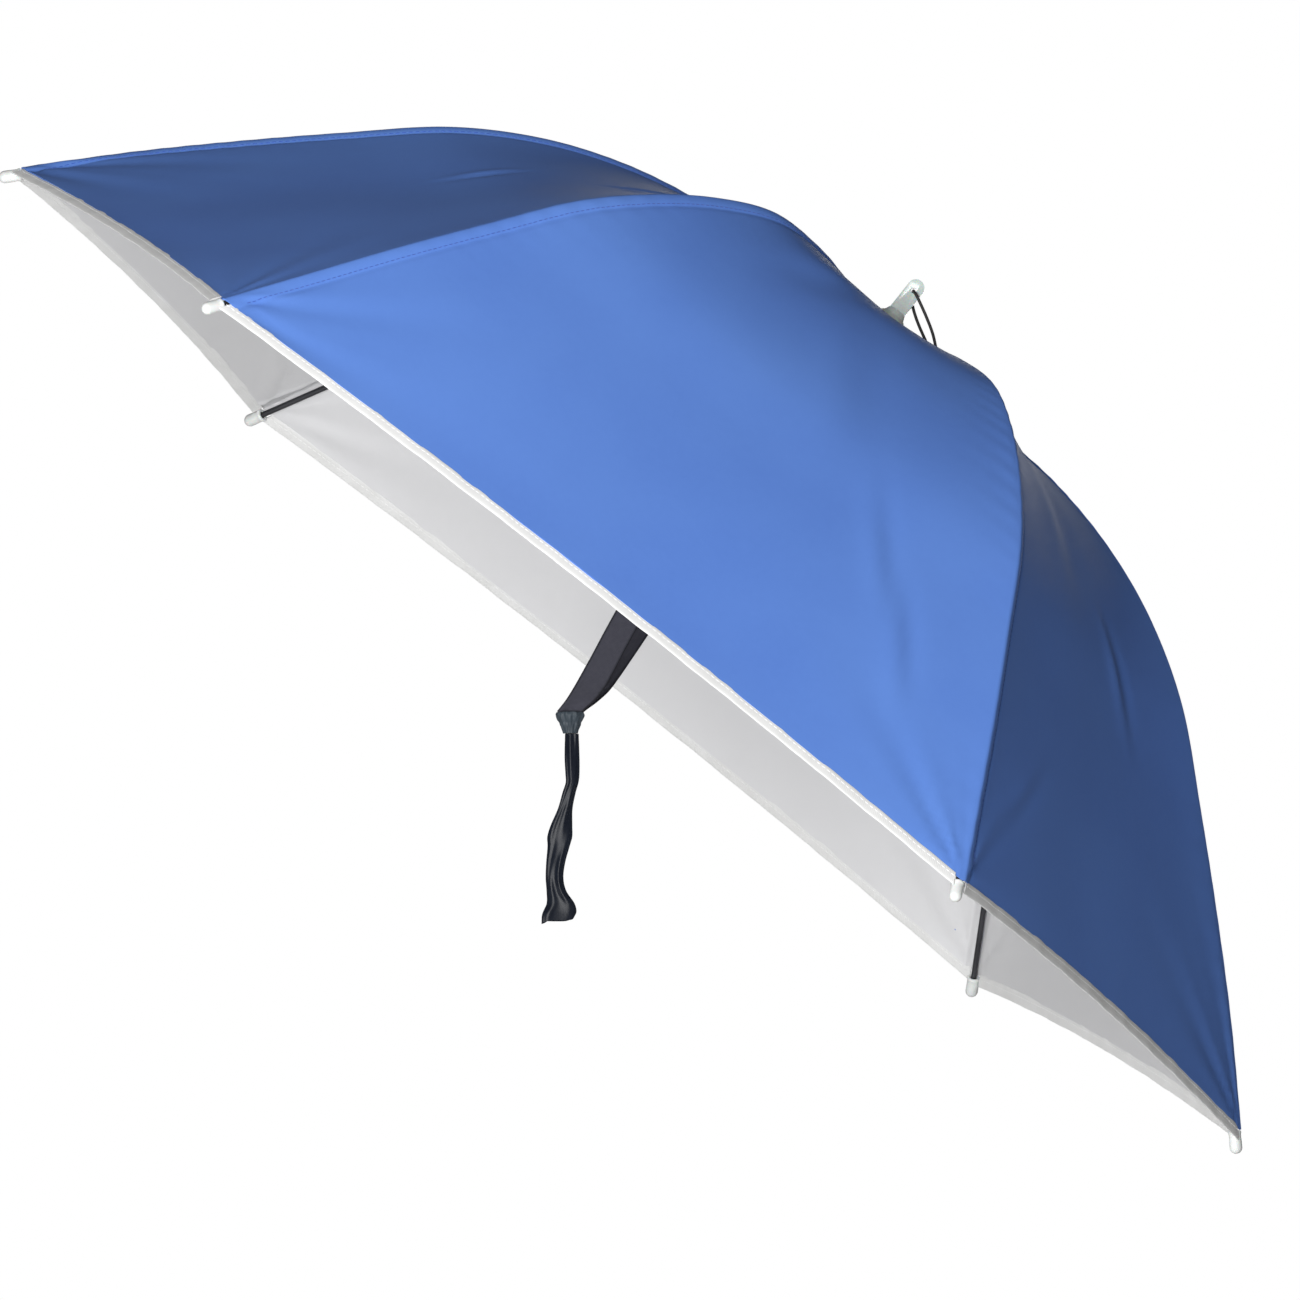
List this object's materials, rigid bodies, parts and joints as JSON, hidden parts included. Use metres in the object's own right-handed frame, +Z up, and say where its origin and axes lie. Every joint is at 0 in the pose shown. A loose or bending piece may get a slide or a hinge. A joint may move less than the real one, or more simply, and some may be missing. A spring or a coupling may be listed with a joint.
{
  "type": "umbrella hat",
  "caption": "Hands-free folding umbrella hat: a ribbed cloth canopy worn on an elastic headband, with a chin strap gathered under the chin.",
  "frame": {"origin": "middle of the headband, where the hat sits on the head", "axes": "+Z up as worn, -Y the way the wearer faces, +X the wearer's left; the canopy's own axis leans back from +Z towards +Y"},
  "size_m": [0.6802, 0.6479, 0.5365],
  "materials": {
    "canopy_cloth": "coated blue polyester, silver underneath",
    "hem_cloth": "white woven binding",
    "rib_steel": "dark painted steel rod",
    "white_plastic": "moulded white plastic",
    "finial_plastic": "milky translucent plastic",
    "elastic": "black covered elastic",
    "strap_tape": "charcoal woven elastic tape",
    "tail_ribbon": "black satin ribbon"
  },
  "bodies": {
    "root": {"gore_back_left": "canopy_cloth", "gore_left": "canopy_cloth", "gore_front_left": "canopy_cloth", "gore_front_right": "canopy_cloth", "gore_right": "canopy_cloth", "gore_back_right": "canopy_cloth", "hem_back_left": "hem_cloth", "hem_left": "hem_cloth", "hem_front_left": "hem_cloth", "hem_front_right": "hem_cloth", "hem_right": "hem_cloth", "hem_back_right": "hem_cloth", "rib_back": "rib_steel", "rib_back_left": "rib_steel", "rib_front_left": "rib_steel", "rib_front": "rib_steel", "rib_front_right": "rib_steel", "rib_back_right": "rib_steel", "tip_cap_back": "white_plastic", "tip_cap_back_left": "white_plastic", "tip_cap_front_left": "white_plastic", "tip_cap_front": "white_plastic", "tip_cap_front_right": "white_plastic", "tip_cap_back_right": "white_plastic", "band_leg_back": "white_plastic", "band_leg_back_left": "white_plastic", "band_leg_front_left": "white_plastic", "band_leg_front": "white_plastic", "band_leg_front_right": "white_plastic", "band_leg_back_right": "white_plastic", "hub": "white_plastic", "finial": "finial_plastic", "elastic_loop": "elastic", "headband": "elastic", "chin_strap_left": "strap_tape", "chin_strap_right": "strap_tape", "strap_slide": "strap_tape", "strap_tail": "tail_ribbon"}
  },
  "joints": []
}
